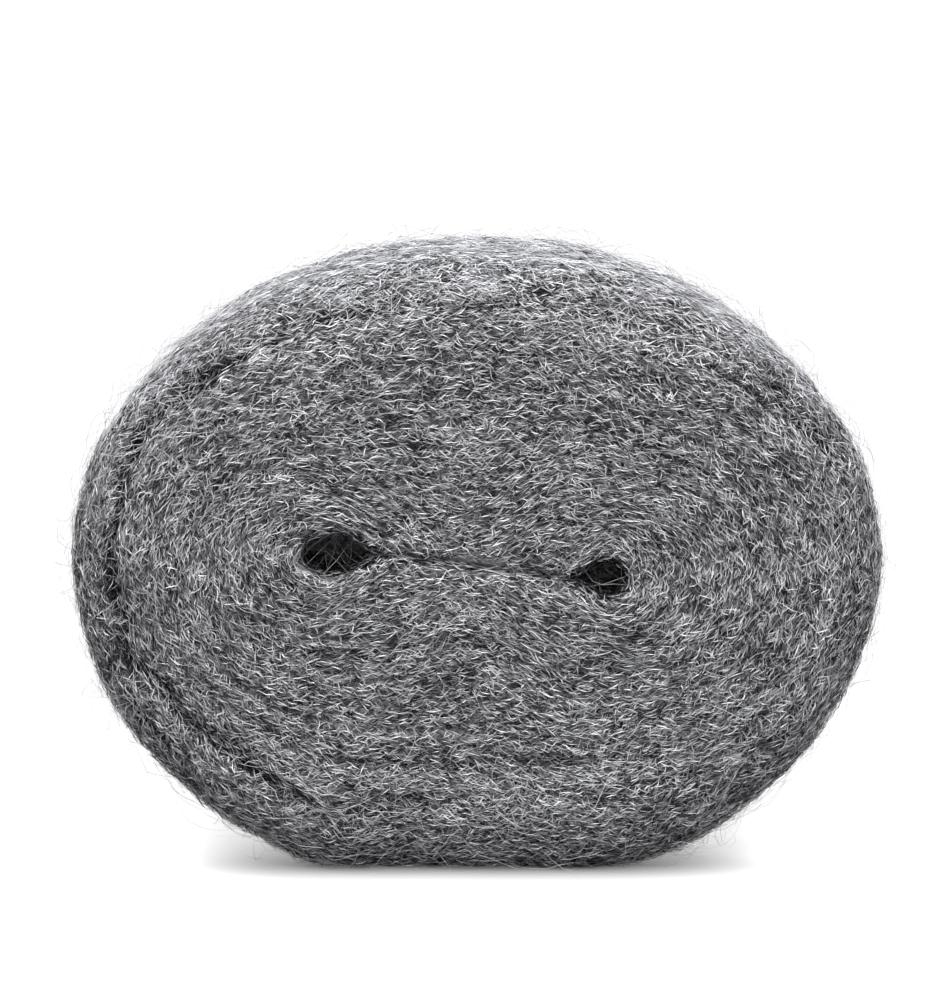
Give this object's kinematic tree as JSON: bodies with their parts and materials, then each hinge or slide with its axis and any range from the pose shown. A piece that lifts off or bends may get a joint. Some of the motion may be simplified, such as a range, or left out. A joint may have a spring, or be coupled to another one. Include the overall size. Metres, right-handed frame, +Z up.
{
  "type": "steel wool roll",
  "caption": "Roll of fine steel wool: a soft grey strip wound flat upon itself, with a hollow two-eyed core, for scouring, polishing and stopping gaps.",
  "frame": {"origin": "on the floor, under the middle of the roll", "axes": "+Y along the roll's axis, from the end that the picture shows to the other; +X across the roll's long diameter, to the right in the picture; +Z up"},
  "size_m": [0.13, 0.09, 0.099],
  "materials": {
    "steel_wool": "matted fine steel fibres, dull grey with bright glints"
  },
  "bodies": {
    "root": {"wool_roll": "steel_wool"}
  },
  "joints": []
}
